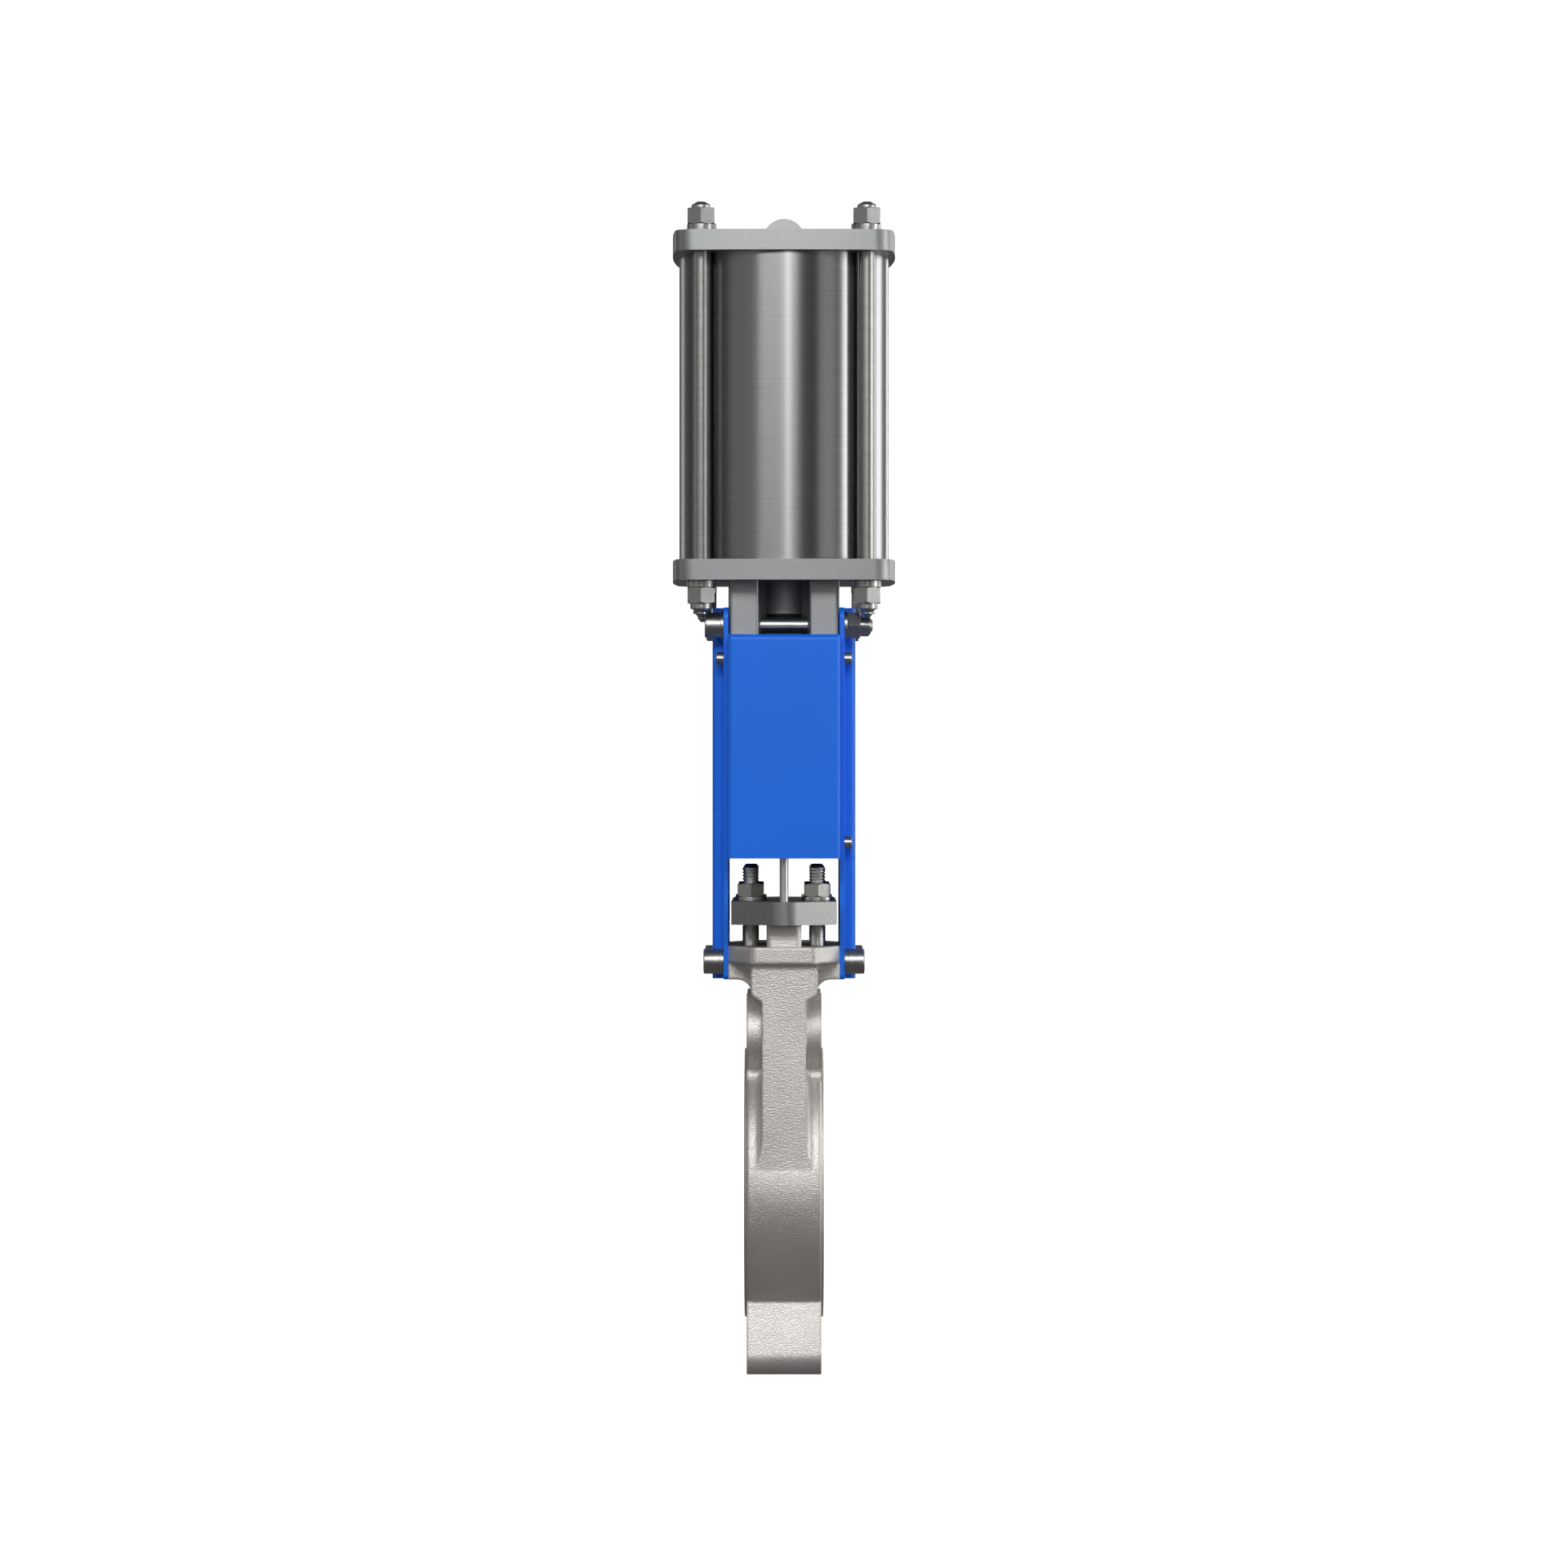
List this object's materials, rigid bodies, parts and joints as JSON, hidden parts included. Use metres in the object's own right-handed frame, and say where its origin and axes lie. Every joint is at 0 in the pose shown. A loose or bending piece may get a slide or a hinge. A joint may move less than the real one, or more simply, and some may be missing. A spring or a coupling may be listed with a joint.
{
  "type": "pneumatic knife gate valve",
  "caption": "Wafer knife gate valve with cast body, packed gland, blue sheet yoke with guards and a double-acting tie-rod air cylinder that lifts the gate.",
  "frame": {"origin": "centre of the port, halfway between the two sealing faces", "axes": "+X along the flow, +Z along the gate's opening stroke towards the cylinder, +Y across the flow towards the side with the air ports"},
  "size_m": [0.1416, 0.194, 0.7376],
  "materials": {
    "cast_body": "shot-blasted casting",
    "machined_grey": "fine machined",
    "blue_powder_coat": "blue powder coat",
    "cast_head": "satin cast aluminium",
    "brushed_tube": "brushed along its turns",
    "bright_fastener": "polished stainless",
    "gate_plate": "ground stainless plate",
    "chromed_rod": "ground and chromed",
    "black_seal": "matt rubber",
    "pale_packing": "braided packing",
    "bronze_guide": "turned bronze",
    "piston_metal": "turned aluminium"
  },
  "bodies": {
    "valve_frame": {"body": "cast_body", "seat_ring": "black_seal", "guide_ring": "bronze_guide", "packing_rings": "pale_packing", "gland_follower": "cast_body", "gland_flange": "machined_grey", "gland_studs": "bright_fastener", "gland_nuts": "bright_fastener", "gland_washers": "bright_fastener", "yoke_left": "blue_powder_coat", "yoke_right": "blue_powder_coat", "yoke_body_screws": "bright_fastener", "yoke_body_spring_washers": "bright_fastener", "yoke_head_bolts": "bright_fastener", "yoke_head_nuts": "bright_fastener", "yoke_head_washers": "bright_fastener", "guard_front": "blue_powder_coat", "guard_back": "blue_powder_coat", "guard_screws": "bright_fastener", "guard_rivet_nuts": "bright_fastener", "lower_head": "cast_head", "rod_bush": "bronze_guide", "rod_seal": "black_seal", "rod_wiper": "black_seal", "head_o_rings": "black_seal", "cylinder_tube": "brushed_tube", "upper_head": "cast_head", "tie_rods": "bright_fastener", "tie_rod_nuts": "bright_fastener", "tie_rod_washers": "bright_fastener"},
    "gate_train": {"gate": "gate_plate", "gate_clevis": "machined_grey", "clevis_bolts": "bright_fastener", "clevis_nuts": "bright_fastener", "piston_rod": "chromed_rod", "piston": "piston_metal", "piston_seals": "black_seal", "piston_wear_ring": "pale_packing", "piston_nut": "bright_fastener"}
  },
  "joints": [
    {"name": "gate_stroke", "type": "slide", "parent": "valve_frame", "child": "gate_train", "axis": [0, 0, 1], "range_m": [-0.131, 0]}
  ]
}
